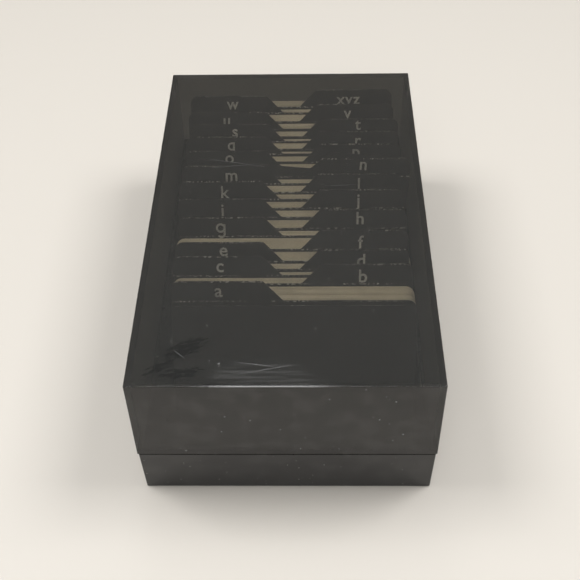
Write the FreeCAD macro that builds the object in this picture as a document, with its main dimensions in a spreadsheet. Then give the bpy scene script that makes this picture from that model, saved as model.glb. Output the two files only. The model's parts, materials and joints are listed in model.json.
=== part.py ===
import FreeCAD, Part
import math
import os

import Sketcher
from FreeCAD import Vector

# Card file box
#
# A desk box for 5 x 3 inch index cards: a glossy black tray, a smoked clear lid on a pin hinge at
# the back, and inside them twenty-four alphabet guides with the cards filed behind each one.
# Everything leans back on a sloped rest, with its feet in two toothed racks on the tray floor.
#
# X is to the right, Y to the back, Z up. The origin is the centre of the footprint on the table.
# Lengths are in millimetres and angles in degrees.

SIZES = (
    ("card_width", 127, "cards and guides, side to side"),
    ("card_height", 76.2, "card, foot to top"),
    ("side_room", 11, "edge of a card in the middle to the side of the lid's top face"),
    ("box_depth", 246, "lid, front to back along its top face"),
    ("lid_room", 0.84, "lid's inner face to the tallest tab"),
    ("seam_height", 32, "table to the seam between tray and lid"),
    ("draft_angle", 0.7, "taper that lets each moulding leave its tool"),
    ("lid_wall", 3, "lid side walls"),
    ("lid_roof", 3, "lid top"),
    ("tray_wall", 3, "tray side walls"),
    ("tray_floor", 2.5, "tray bottom"),
    ("step_in", 0.5, "how far the tray stands inside the lid rim"),
    ("edge_round", 0.6, "outer edges of both mouldings"),
    ("rim_break", 0.4, "chamfer along the seam, on both mouldings"),
    ("lip_clear", 0.35, "lid wall to locating lip"),
    ("lip_thick", 1.6, "locating lip"),
    ("lip_rise", 3, "lip above the seam"),
    ("lip_root", 6, "lip below the seam"),
    ("lip_stop", 9, "end of the lip to the hinge axis"),
    ("hinge_inset", 2.4, "hinge axis in from the back of the lid rim"),
    ("hinge_margin", 29.2, "centre of each hinge from the side of the lid rim"),
    ("open_angle", 100, "how far the lid opens"),
    ("open_spare", 2, "angle left in the back groove when the lid is open"),
    ("knuckle_radius", 2.2, "hinge barrel"),
    ("lid_knuckle", 14, "length of the lid's barrel"),
    ("tray_knuckle", 7, "length of each tray barrel"),
    ("knuckle_gap", 0.3, "between barrels along the pin"),
    ("knuckle_clear", 0.35, "round a barrel, to the other moulding"),
    ("knuckle_root", 4.5, "length of the web that joins a barrel to its wall"),
    ("root_slope", 1.8, "how far that web stands out at the barrel"),
    ("pin_radius", 0.8, "hinge pin"),
    ("pin_play", 0.05, "round the pin in the lid's barrel"),
    ("pin_press", 0.01, "round the pin in the tray's barrels"),
    ("lean", 30, "cards and guides, back from upright"),
    ("notch_pitch", 1.5, "one rack tooth to the next"),
    ("tooth_height", 1, "rack tooth"),
    ("rack_base", 0.6, "rack strip under the teeth"),
    ("rack_width", 12, "rack, side to side"),
    ("rack_inset", 23.5, "centre of each rack from the edge of a card"),
    ("rack_room", 3, "front wall of the tray to the rack"),
    ("seat_gap", 0.05, "a foot to the tooth that it stands on"),
    ("guide_body", 78, "guide, foot to the low shoulder"),
    ("tab_height", 10.5, "tab above the shoulder"),
    ("tab_start", 5.5, "middle of the guide to the foot of the tab's slope"),
    ("tab_slope", 45, "slope at the inner end of a tab"),
    ("guide_thick", 0.5, "guide sheet"),
    ("guide_round", 4.8, "upper outer corners of a guide"),
    ("slope_round", 2, "both ends of the tab's slope"),
    ("slip_angle", 5, "one guide, slipped round in its own plane"),
    ("card_thick", 0.24, "one card"),
    ("card_round", 4.8, "upper corners of a card"),
    ("filing_slack", 0.3, "least free room in front of the cards of a letter"),
    ("touch_gap", 0.02, "cards to the guide or rest that they lean on"),
    ("plate_height", 76.2, "plain front plate, foot to top"),
    ("plate_notches", 1, "front plate ahead of the first guide, in notches"),
    ("plate_gap", 0.2, "front plate's foot to its tooth"),
    ("rest_margin", 7.5, "side of the back rest from the edge of a card"),
    ("rest_slope", 62, "back rest, along its slope"),
    ("rest_foot", 42.5, "back rest, along the floor"),
    ("rest_gap", 0.3, "back rest to the tray's back wall and to the racks"),
    ("rest_sheet", 1.5, "back rest, thickness"),
    ("rest_round", 8, "upper corners of the back rest"),
    ("bend_round", 1.5, "inside of the back rest's bend"),
    ("wing_height", 38, "side wings of the rest, up the slope"),
    ("wing_foot", 24, "side wings of the rest, along the foot"),
    ("peg_inset", 20, "each peg from the side of the rest"),
    ("peg_back", 10, "pegs from the back edge of the rest"),
    ("peg_radius", 1.5, "pegs that hold the rest"),
    ("peg_play", 0.1, "round a peg in the rest"),
    ("peg_head", 2.6, "radius of the head formed on each peg"),
    ("peg_cap", 0.8, "thickness of that head"),
)

# Each letter's guide: the cards filed behind it and how far it stands to the right of the middle.
# Tabs stand left and right by turns.
FILING = (
    ("a", 38, 3.5),
    ("b", 17, 2),
    ("c", 11, 2.5),
    ("d", 18, 1),
    ("e", 28, 3),
    ("f", 33, 1.5),
    ("g", 17, 2.5),
    ("h", 28, 2),
    ("i", 23, 1.5),
    ("j", 21, 1.5),
    ("k", 17, 0.5),
    ("l", 23, 1),
    ("m", 16, 1),
    ("n", 21, 0),
    ("o", 16, 2),
    ("p", 23, 2.5),
    ("q", 12, 1.5),
    ("r", 22, 2),
    ("s", 11, 2.5),
    ("t", 23, 2.5),
    ("u", 21, 1),
    ("v", 28, 0.5),
    ("w", 17, 1),
    ("xyz", 24, 0.5),
)
SLIPPED = ("n",)

# Values that follow from the sizes. The two halves taper away from the seam, so both are
# largest there. Heights are above the table.
WORKED = (
    ("guide_top", "Sizes.guide_body + Sizes.tab_height"),
    ("tab_in", "Sizes.tab_start + Sizes.tab_height / tan(Sizes.tab_slope)"),
    ("notch_z", "Sizes.tray_floor + Sizes.rack_base"),
    ("notch_rise", "Sizes.tooth_height / Sizes.notch_pitch"),
    ("heel_back", "Sizes.guide_thick * cos(Sizes.lean) + Sizes.seat_gap"),
    ("heel_drop", "Sizes.guide_thick * sin(Sizes.lean)"),
    ("guide_z", "notch_z + heel_drop + heel_back * notch_rise + Sizes.seat_gap"),
    ("slip_lift", "(Sizes.card_width / 2 - tab_in) * sin(Sizes.slip_angle)"),
    ("tallest", "(guide_top * cos(Sizes.slip_angle) + slip_lift) * cos(Sizes.lean)"),
    ("box_height", "guide_z + tallest + Sizes.lid_room + Sizes.lid_roof"),
    ("lid_rise", "box_height - Sizes.seam_height"),
    ("spread", "2 * lid_rise * tan(Sizes.draft_angle)"),
    ("rim_width", "Sizes.card_width + 2 * Sizes.side_room + spread"),
    ("rim_depth", "Sizes.box_depth + spread"),
    ("tray_width", "rim_width - 2 * Sizes.step_in"),
    ("tray_depth", "rim_depth - 2 * Sizes.step_in"),
    ("cavity_width", "tray_width - 2 * Sizes.tray_wall"),
    ("cavity_depth", "tray_depth - 2 * Sizes.tray_wall"),
    ("cavity_drop", "Sizes.seam_height - Sizes.tray_floor"),
    ("floor_end", "cavity_depth / 2 - cavity_drop * tan(Sizes.draft_angle)"),
    ("axis_y", "rim_depth / 2 - Sizes.hinge_inset"),
    ("hinge_x", "rim_width / 2 - Sizes.hinge_margin"),
    ("groove_slope", "(Sizes.open_angle + Sizes.open_spare) / 2"),
    ("lip_side", "rim_width / 2 - Sizes.lid_wall - Sizes.lip_clear"),
    ("lip_front", "rim_depth / 2 - Sizes.lid_wall - Sizes.lip_clear"),
    ("lip_end", "axis_y - Sizes.lip_stop"),
    ("hinge_half", "Sizes.lid_knuckle / 2 + Sizes.knuckle_gap + Sizes.tray_knuckle"),
    ("guide_step", "Sizes.guide_thick / cos(Sizes.lean)"),
    ("card_step", "Sizes.card_thick / cos(Sizes.lean)"),
    ("card_z", "notch_z + Sizes.tooth_height + Sizes.seat_gap"),
    ("card_offset", "(card_z - guide_z) * tan(Sizes.lean)"),
    ("rack_x", "Sizes.card_width / 2 - Sizes.rack_inset"),
    ("rack_start", "Sizes.rack_room - floor_end"),
    ("rest_width", "Sizes.card_width - 2 * Sizes.rest_margin"),
    ("rest_y", "floor_end - Sizes.rest_gap - Sizes.rest_foot"),
    ("rest_plane", "rest_y + (guide_z - Sizes.tray_floor) * tan(Sizes.lean)"),
    ("teeth", "floor((rest_y - Sizes.rest_gap - rack_start) / Sizes.notch_pitch)"),
    ("peg_x", "rest_width / 2 - Sizes.peg_inset"),
    ("peg_y", "rest_y + Sizes.rest_foot - Sizes.peg_back"),
    ("peg_top", "Sizes.tray_floor + Sizes.rest_sheet"),
)

doc = FreeCAD.newDocument("card_file_box")
made = []


def new_sheet(name, rows):
    """Make a spreadsheet whose column B holds the given texts under the aliases in column A."""
    sheet = doc.addObject("Spreadsheet::Sheet", name)
    for number, row in enumerate(rows, start=1):
        sheet.set("A%d" % number, row[0])
        sheet.set("B%d" % number, row[1])
        sheet.setAlias("B%d" % number, row[0])
        sheet.set("C%d" % number, row[2] if len(row) > 2 else "")
    return sheet


sizes = new_sheet("Sizes", [(alias, str(value), note) for alias, value, note in SIZES])
worked = new_sheet("Worked", [(alias, "=" + formula) for alias, formula in WORKED])


def filing_rows():
    """Work from the back rest forward: each guide stands in the last notch that leaves its cards room."""
    rows = []
    behind = "Worked.rest_plane"
    for letter, count, shift in reversed(FILING):
        rows.append(("count_" + letter, str(count), "cards behind the guide"))
        rows.append(("shift_" + letter, str(shift), "guide and cards, to the right"))
        pack = "count_%s * Worked.card_step + Sizes.filing_slack + Sizes.touch_gap" % letter
        room = "%s - Worked.rack_start - Sizes.seat_gap - Worked.guide_step - (%s)" % (behind, pack)
        rows.append(("notch_" + letter, "=floor((%s) / Sizes.notch_pitch)" % room, "rack notch"))
        place = "Worked.rack_start + Sizes.seat_gap + notch_%s * Sizes.notch_pitch" % letter
        rows.append(("place_" + letter, "=" + place, "front of the guide's foot"))
        behind = "place_" + letter
    return rows


filing = new_sheet("Filing", filing_rows())
doc.recompute()


def size(alias):
    """The number in a cell of the Sizes or the Worked sheet."""
    sheet = sizes if sizes.getCellFromAlias(alias) else worked
    return float(sheet.get(alias))


def new_body(name):
    """Start a sub-part: its label names its file."""
    body = doc.addObject("PartDesign::Body", name)
    body.Label = name
    made.append(body)
    return body


def new_sketch(body, plane, name, offset=None):
    """Attach a sketch to one of the body's own origin planes, moved along that plane's normal."""
    sketch = body.newObject("Sketcher::SketchObject", name)
    support = [item for item in body.Origin.OriginFeatures if item.Role == plane][0]
    sketch.AttachmentSupport = [(support, "")]
    sketch.MapMode = "FlatFace"
    if offset:
        sketch.setExpression("AttachmentOffset.Base.z", offset)
    return sketch


def pin_down(sketch, kind, geometry, point, formula):
    """Hold one coordinate of a point of the sketch at a formula of the sizes."""
    index = sketch.addConstraint(Sketcher.Constraint(kind, -1, 1, geometry, point, 1.0))
    sketch.setExpression("Constraints[%d]" % index, formula)


def draw_outline(sketch, corners):
    """Draw a closed outline. It starts as a rough ring, and the formulas then place its corners."""
    first = sketch.GeometryCount
    turn = 2 * math.pi / len(corners)
    ring = [Vector(math.cos(turn * k), math.sin(turn * k), 0) for k in range(len(corners))]
    for k in range(len(corners)):
        sketch.addGeometry(Part.LineSegment(ring[k], ring[(k + 1) % len(ring)]), False)
    for k, (across, up) in enumerate(corners):
        after = first + (k + 1) % len(corners)
        sketch.addConstraint(Sketcher.Constraint("Coincident", first + k, 2, after, 1))
        pin_down(sketch, "DistanceX", first + k, 1, across)
        pin_down(sketch, "DistanceY", first + k, 1, up)


def draw_circle(sketch, across, up, radius):
    """Draw a circle whose centre and radius are formulas of the sizes."""
    circle = sketch.addGeometry(Part.Circle(Vector(0, 0, 0), Vector(0, 0, 1), 1), False)
    pin_down(sketch, "DistanceX", circle, 3, across)
    pin_down(sketch, "DistanceY", circle, 3, up)
    index = sketch.addConstraint(Sketcher.Constraint("Radius", circle, 1.0))
    sketch.setExpression("Constraints[%d]" % index, radius)


def centred_rectangle(width, depth):
    """Corners of a rectangle round the sketch's origin."""
    return [
        ("-(%s) / 2" % width, "-(%s) / 2" % depth),
        ("(%s) / 2" % width, "-(%s) / 2" % depth),
        ("(%s) / 2" % width, "(%s) / 2" % depth),
        ("-(%s) / 2" % width, "(%s) / 2" % depth),
    ]


def extrude(body, kind, sketch, length, reverse=False, taper=None, middle=False):
    """Pad or pocket a sketch, and check that it changed the body's volume."""
    before = body.Shape.Volume if body.Tip else 0
    feature = body.newObject("PartDesign::" + kind, kind)
    feature.Profile = sketch
    feature.Reversed = reverse
    feature.Midplane = middle
    feature.setExpression("Length", length)
    if taper:
        feature.setExpression("TaperAngle", taper)
    doc.recompute()
    change = body.Shape.Volume - before
    if (change > 0) != (kind == "Pad"):
        raise RuntimeError("%s: a %s changed the volume by %g" % (body.Label, kind, change))
    return feature


def edges_where(feature, test):
    """Names of the feature's edges whose end points and middle pass the test."""
    names = []
    for number, edge in enumerate(feature.Shape.Edges, start=1):
        points = [vertex.Point for vertex in edge.Vertexes]
        points.append(edge.CenterOfMass)
        if all(test(point) for point in points):
            names.append("Edge%d" % number)
    return names


def soften(body, kind, test, formula):
    """Fillet or chamfer the edges of the body's last feature that pass the test."""
    base = body.Tip
    names = edges_where(base, test)
    if not names:
        raise RuntimeError("%s: no edge to %s" % (body.Label, kind.lower()))
    feature = body.newObject("PartDesign::" + kind, kind)
    feature.Base = (base, names)
    feature.setExpression("Radius" if kind == "Fillet" else "Size", formula)
    doc.recompute()
    if feature.Shape.isNull():
        raise RuntimeError("%s: %s failed" % (body.Label, feature.Name))


def near(first, second):
    """Whether two lengths are the same, for picking edges."""
    return abs(first - second) < 1e-4


def at_corner(point, half_width, half_depth):
    """Whether a point lies on one of the four upright corner edges of a moulding."""
    inset = abs(point.z - size("seam_height")) * math.tan(math.radians(size("draft_angle")))
    return near(abs(point.x), half_width - inset) and near(abs(point.y), half_depth - inset)


def add_barrel(body, centre, length, upward):
    """One hinge barrel and the web that joins it to its wall, above or below the axis."""
    sign = "+" if upward else "-"
    wall = "Worked.axis_y" if upward else "Worked.tray_depth / 2 - Sizes.tray_wall / 2"
    barrel = new_sketch(body, "YZ_Plane", "Barrel", centre)
    draw_circle(barrel, "Worked.axis_y", "Sizes.seam_height", "Sizes.knuckle_radius")
    extrude(body, "Pad", barrel, length, middle=True)
    web = new_sketch(body, "YZ_Plane", "BarrelWeb", centre)
    draw_outline(web, [
        ("Worked.axis_y - Sizes.root_slope", "Sizes.seam_height"),
        (wall, "Sizes.seam_height"),
        (wall, "Sizes.seam_height %s (Sizes.knuckle_root + Sizes.root_slope)" % sign),
        ("Worked.axis_y - Sizes.hinge_inset / 2", "Sizes.seam_height %s Sizes.knuckle_root" % sign),
        ("Worked.axis_y - Sizes.root_slope", "Sizes.seam_height %s Sizes.knuckle_radius" % sign),
    ])
    extrude(body, "Pad", web, length, middle=True)


def clear_barrel(body, centre, length):
    """Make room in a moulding for a barrel of the other one, all round the axis."""
    sketch = new_sketch(body, "YZ_Plane", "BarrelRoom", centre)
    draw_circle(sketch, "Worked.axis_y", "Sizes.seam_height", "Sizes.knuckle_radius + Sizes.knuckle_clear")
    extrude(body, "Pocket", sketch, length + " + 2 * Sizes.knuckle_gap", middle=True)


def bore_barrels(body, centre, play):
    """Bore every barrel of one hinge for its pin."""
    sketch = new_sketch(body, "YZ_Plane", "PinBore", centre)
    draw_circle(sketch, "Worked.axis_y", "Sizes.seam_height", "Sizes.pin_radius + " + play)
    extrude(body, "Pocket", sketch, "2 * Worked.hinge_half", middle=True)


def groove_back(body, upward):
    """Slope the back rim away from the hinge axis, so that both slopes meet when the lid is open."""
    sign = "+" if upward else "-"
    reach = "Sizes.hinge_inset * 2"
    sketch = new_sketch(body, "YZ_Plane", "BackGroove")
    draw_outline(sketch, [
        ("Worked.axis_y", "Sizes.seam_height"),
        ("Worked.axis_y + " + reach, "Sizes.seam_height"),
        ("Worked.axis_y + " + reach, "Sizes.seam_height %s %s * tan(Worked.groove_slope)" % (sign, reach)),
    ])
    extrude(body, "Pocket", sketch, "2 * Worked.rim_width", middle=True)


TRAY_BARREL = "(Sizes.lid_knuckle / 2 + Sizes.knuckle_gap + Sizes.tray_knuckle / 2)"


def make_tray():
    """The black tray: a tapered open box with a locating lip, back hinge barrels and two pegs."""
    body = new_body("base_tray")
    half_width = size("tray_width") / 2
    half_depth = size("tray_depth") / 2
    seam = size("seam_height")

    block = new_sketch(body, "XY_Plane", "TrayOutline", "Sizes.seam_height")
    draw_outline(block, centred_rectangle("Worked.tray_width", "Worked.tray_depth"))
    extrude(body, "Pad", block, "Sizes.seam_height", reverse=True, taper="-Sizes.draft_angle")
    soften(body, "Chamfer", lambda p: near(p.z, seam), "Sizes.rim_break")
    soften(body, "Fillet", lambda p: at_corner(p, half_width, half_depth) or near(p.z, 0),
           "Sizes.edge_round")

    cavity = new_sketch(body, "XY_Plane", "TrayCavity", "Sizes.seam_height")
    draw_outline(cavity, centred_rectangle("Worked.cavity_width", "Worked.cavity_depth"))
    extrude(body, "Pocket", cavity, "Worked.cavity_drop", taper="-Sizes.draft_angle")

    lip = new_sketch(body, "XY_Plane", "Lip", "Sizes.seam_height + Sizes.lip_rise")
    inside = "(Worked.lip_side - Sizes.lip_thick)"
    draw_outline(lip, [
        ("-Worked.lip_side", "Worked.lip_end"),
        ("-Worked.lip_side", "-Worked.lip_front"),
        ("Worked.lip_side", "-Worked.lip_front"),
        ("Worked.lip_side", "Worked.lip_end"),
        (inside, "Worked.lip_end"),
        (inside, "Sizes.lip_thick - Worked.lip_front"),
        ("-" + inside, "Sizes.lip_thick - Worked.lip_front"),
        ("-" + inside, "Worked.lip_end"),
    ])
    extrude(body, "Pad", lip, "Sizes.lip_rise + Sizes.lip_root", reverse=True)

    groove_back(body, upward=False)
    for side in ("-", ""):
        middle = side + "Worked.hinge_x"
        clear_barrel(body, middle, "Sizes.lid_knuckle")
        for step in (" - ", " + "):
            add_barrel(body, middle + step + TRAY_BARREL, "Sizes.tray_knuckle", upward=False)
        bore_barrels(body, middle, "Sizes.pin_press")

    for radius, bottom, top in (
        ("Sizes.peg_radius", "Sizes.tray_floor", "Worked.peg_top"),
        ("Sizes.peg_head", "Worked.peg_top", "Worked.peg_top + Sizes.peg_cap"),
    ):
        pegs = new_sketch(body, "XY_Plane", "Pegs", bottom)
        for side in ("-", ""):
            draw_circle(pegs, side + "Worked.peg_x", "Worked.peg_y", radius)
        extrude(body, "Pad", pegs, "(%s) - (%s)" % (top, bottom))


def make_lid():
    """The smoked lid: a tapered shell, open below, whose back rim carries one barrel per hinge."""
    body = new_body("lid")
    half_width = size("rim_width") / 2
    half_depth = size("rim_depth") / 2
    seam = size("seam_height")
    top = size("box_height")

    block = new_sketch(body, "XY_Plane", "LidOutline", "Sizes.seam_height")
    draw_outline(block, centred_rectangle("Worked.rim_width", "Worked.rim_depth"))
    extrude(body, "Pad", block, "Worked.lid_rise", taper="-Sizes.draft_angle")
    soften(body, "Chamfer", lambda p: near(p.z, seam), "Sizes.rim_break")
    soften(body, "Fillet", lambda p: at_corner(p, half_width, half_depth) or near(p.z, top),
           "Sizes.edge_round")

    cavity = new_sketch(body, "XY_Plane", "LidCavity", "Sizes.seam_height")
    draw_outline(cavity, centred_rectangle("Worked.rim_width - 2 * Sizes.lid_wall",
                                           "Worked.rim_depth - 2 * Sizes.lid_wall"))
    extrude(body, "Pocket", cavity, "Worked.lid_rise - Sizes.lid_roof", reverse=True,
            taper="-Sizes.draft_angle")

    groove_back(body, upward=True)
    for side in ("-", ""):
        middle = side + "Worked.hinge_x"
        for step in (" - ", " + "):
            clear_barrel(body, middle + step + TRAY_BARREL, "Sizes.tray_knuckle")
        add_barrel(body, middle, "Sizes.lid_knuckle", upward=True)
        bore_barrels(body, middle, "Sizes.pin_play")


def make_pin(name, side):
    """A steel hinge pin: a piece of plain rod along X."""
    body = new_body(name)
    rod = new_sketch(body, "YZ_Plane", "Rod")
    draw_circle(rod, "0", "0", "Sizes.pin_radius")
    extrude(body, "Pad", rod, "2 * (Worked.hinge_half - Sizes.knuckle_gap)", middle=True)
    body.setExpression("Placement.Base.x", side + "Worked.hinge_x")
    body.setExpression("Placement.Base.y", "Worked.axis_y")
    body.setExpression("Placement.Base.z", "Sizes.seam_height")


def make_rack(name, side):
    """A toothed strip on the floor. Its notches stop the feet of the guides from sliding forward."""
    body = new_body(name)
    strip = new_sketch(body, "YZ_Plane", "Strip")
    length = "Worked.teeth * Sizes.notch_pitch"
    draw_outline(strip, [("0", "0"), (length, "0"), (length, "Sizes.rack_base"), ("0", "Sizes.rack_base")])
    extrude(body, "Pad", strip, "Sizes.rack_width", middle=True)

    tooth = new_sketch(body, "YZ_Plane", "Tooth")
    draw_outline(tooth, [
        ("0", "0"),
        ("Sizes.notch_pitch", "0"),
        ("Sizes.notch_pitch", "Sizes.rack_base + Sizes.tooth_height"),
        ("0", "Sizes.rack_base"),
    ])
    first = extrude(body, "Pad", tooth, "Sizes.rack_width", middle=True)
    row = body.newObject("PartDesign::LinearPattern", "ToothRow")
    row.Originals = [first]
    row.Direction = (tooth, ["H_Axis"])
    row.setExpression("Length", "(Worked.teeth - 1) * Sizes.notch_pitch")
    row.setExpression("Occurrences", "Worked.teeth")
    body.Tip = row
    body.setExpression("Placement.Base.x", side + "Worked.rack_x")
    body.setExpression("Placement.Base.y", "Worked.rack_start")
    body.setExpression("Placement.Base.z", "Sizes.tray_floor")


def make_back_rest():
    """The sloped rest behind the last cards: a bent plate with a foot, two wings and peg holes."""
    body = new_body("back_rest")
    sheet = "Sizes.rest_sheet"
    bend_y = "(%s / cos(Sizes.lean) + %s * tan(Sizes.lean))" % (sheet, sheet)
    top_y = "Sizes.rest_slope * sin(Sizes.lean)"
    top_z = "Sizes.rest_slope * cos(Sizes.lean)"

    profile = new_sketch(body, "YZ_Plane", "BentPlate")
    draw_outline(profile, [
        ("0", "0"),
        ("Sizes.rest_foot", "0"),
        ("Sizes.rest_foot", sheet),
        (bend_y, sheet),
        ("%s + %s * cos(Sizes.lean)" % (top_y, sheet), "%s - %s * sin(Sizes.lean)" % (top_z, sheet)),
        (top_y, top_z),
    ])
    extrude(body, "Pad", profile, "Worked.rest_width", middle=True)

    lean = math.radians(size("lean"))
    thick = size("rest_sheet")
    bend = thick / math.cos(lean) + thick * math.tan(lean)
    high = size("rest_slope") * math.cos(lean) - 2 * thick
    soften(body, "Fillet", lambda p: near(p.y, bend) and near(p.z, thick), "Sizes.bend_round")
    soften(body, "Fillet", lambda p: p.z > high and near(abs(p.x), size("rest_width") / 2),
           "Sizes.rest_round")

    for side in ("-", ""):
        centre = side + "(Worked.rest_width - Sizes.rest_sheet) / 2"
        wing = new_sketch(body, "YZ_Plane", "Wing", centre)
        up_y = "%s / 2 / cos(Sizes.lean) + Sizes.wing_height * sin(Sizes.lean)" % sheet
        draw_outline(wing, [
            (bend_y + " / 2", sheet + " / 2"),
            (bend_y + " + Sizes.wing_foot", sheet + " / 2"),
            (up_y, "Sizes.wing_height * cos(Sizes.lean)"),
        ])
        extrude(body, "Pad", wing, sheet, middle=True)

    holes = new_sketch(body, "XY_Plane", "PegHoles")
    for side in ("-", ""):
        draw_circle(holes, side + "Worked.peg_x", "Sizes.rest_foot - Sizes.peg_back",
                    "Sizes.peg_radius + Sizes.peg_play")
    extrude(body, "Pocket", holes, sheet, reverse=True)
    body.setExpression("Placement.Base.y", "Worked.rest_y")
    body.setExpression("Placement.Base.z", "Sizes.tray_floor")


def lean_back(body, across, along, height, skew="0"):
    """Lean a plate back at a place, turned in its own plane about the lower right corner of its foot."""
    half = "Sizes.card_width / 2"
    turn = "rotation(vector(-1; 0; 0); Sizes.lean) * rotation(vector(0; 1; 0); %s)" % skew
    body.setExpression("Placement.Rotation", turn)
    body.setExpression("Placement.Base.x", "%s + %s * (1 - cos(%s))" % (across, half, skew))
    body.setExpression("Placement.Base.y", "%s + %s * sin(%s) * sin(Sizes.lean)" % (along, half, skew))
    body.setExpression("Placement.Base.z", "%s + %s * sin(%s) * cos(Sizes.lean)" % (height, half, skew))


def at_slope_end(point):
    """Whether a point lies on an edge where the outline of a guide turns into its tab's slope."""
    at_foot = near(abs(point.x), size("tab_start")) and near(point.z, size("guide_body"))
    at_head = near(abs(point.x), size("tab_in")) and near(point.z, size("guide_top"))
    return at_foot or at_head


def make_guide(letter, tab_on_left):
    """One alphabet guide: a thin sheet with a tab over half of its width."""
    body = new_body("guide_" + letter)
    outline = new_sketch(body, "XZ_Plane", "GuideOutline")
    tab, low = ("-", "") if tab_on_left else ("", "-")
    draw_outline(outline, [
        (tab + "Sizes.tab_start", "Sizes.guide_body"),
        (tab + "Worked.tab_in", "Worked.guide_top"),
        (tab + "Sizes.card_width / 2", "Worked.guide_top"),
        (tab + "Sizes.card_width / 2", "0"),
        (low + "Sizes.card_width / 2", "0"),
        (low + "Sizes.card_width / 2", "Sizes.guide_body"),
    ])
    extrude(body, "Pad", outline, "Sizes.guide_thick", reverse=True)
    side = size("card_width") / 2
    soften(body, "Fillet", lambda p: p.z > side and near(abs(p.x), side), "Sizes.guide_round")
    soften(body, "Fillet", at_slope_end, "Sizes.slope_round")
    lean_back(body, "Filing.shift_" + letter, "Filing.place_" + letter, "Worked.guide_z",
              "Sizes.slip_angle" if letter in SLIPPED else "0")


def make_front_plate():
    """The plain plate in front of the first guide."""
    body = new_body("front_plate")
    outline = new_sketch(body, "XZ_Plane", "PlateOutline")
    half = "Sizes.card_width / 2"
    draw_outline(outline, [
        ("-" + half, "0"),
        (half, "0"),
        (half, "Sizes.plate_height"),
        ("-" + half, "Sizes.plate_height"),
    ])
    extrude(body, "Pad", outline, "Sizes.guide_thick", reverse=True)
    low = size("plate_height") / 2
    soften(body, "Fillet", lambda p: p.z > low and near(abs(p.x), size("card_width") / 2),
           "Sizes.guide_round")
    forward = "Sizes.plate_gap - Sizes.seat_gap"
    place = "Filing.place_a - Sizes.plate_notches * Sizes.notch_pitch + " + forward
    lean_back(body, "Filing.shift_a", place, "Worked.guide_z + (%s) * Worked.notch_rise" % forward)


def make_cards(letter, leans_on):
    """The cards filed behind one guide, as one sheared block: every card stands on the racks."""
    body = new_body("cards_" + letter)
    outline = new_sketch(body, "XZ_Plane", "CardOutline")
    half = "Sizes.card_width / 2"
    draw_outline(outline, [
        ("-" + half, "0"),
        (half, "0"),
        (half, "Sizes.card_height"),
        ("-" + half, "Sizes.card_height"),
    ])
    thickness = "Filing.count_%s * Worked.card_step" % letter
    stack = body.newObject("PartDesign::Pad", "Stack")
    stack.Profile = outline
    stack.UseCustomVector = True
    stack.AlongSketchNormal = False
    stack.Direction = Vector(0, 1, 0)
    stack.setExpression("Direction.y", "cos(Sizes.lean)")
    stack.setExpression("Direction.z", "sin(Sizes.lean)")
    stack.setExpression("Length", thickness)
    doc.recompute()
    low = size("card_height") / 2
    soften(body, "Fillet", lambda p: p.z > low and near(abs(p.x), size("card_width") / 2)
           and on_card_top(p), "Sizes.card_round")
    place = "%s + Worked.card_offset - Sizes.touch_gap - %s" % (leans_on, thickness)
    lean_back(body, "Filing.shift_" + letter, place, "Worked.card_z")


def on_card_top(point):
    """Whether a point lies on the sheared top face of a pack, in the pack's own upright frame."""
    rise = point.y * math.tan(math.radians(size("lean")))
    return near(point.z, size("card_height") + rise)


make_tray()
make_lid()
make_pin("hinge_pin_left", "-")
make_pin("hinge_pin_right", "")
make_rack("rack_left", "-")
make_rack("rack_right", "")
make_back_rest()
make_front_plate()
for number, (letter, count, shift) in enumerate(FILING):
    make_guide(letter, number % 2 == 0)
    last = number == len(FILING) - 1
    make_cards(letter, "Worked.rest_plane" if last else "Filing.place_" + FILING[number + 1][0])
doc.recompute()

for item in doc.Objects:
    if "Invalid" in item.State or "Error" in item.State:
        raise RuntimeError("%s could not be worked out: %s" % (item.Label, item.State))
for body in made:
    if body.Shape.isNull() or not body.Shape.isValid() or len(body.Shape.Solids) != 1:
        raise RuntimeError("%s is not one sound solid" % body.Label)

os.makedirs("parts", exist_ok=True)
for body in made:
    body.Shape.exportStep(os.path.join("parts", body.Label + ".step"))
print("%d sub-parts written" % len(made))
for letter, count, shift in FILING:
    print("guide %s: notch %d, %d cards" % (letter, filing.get("notch_" + letter), count))
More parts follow.
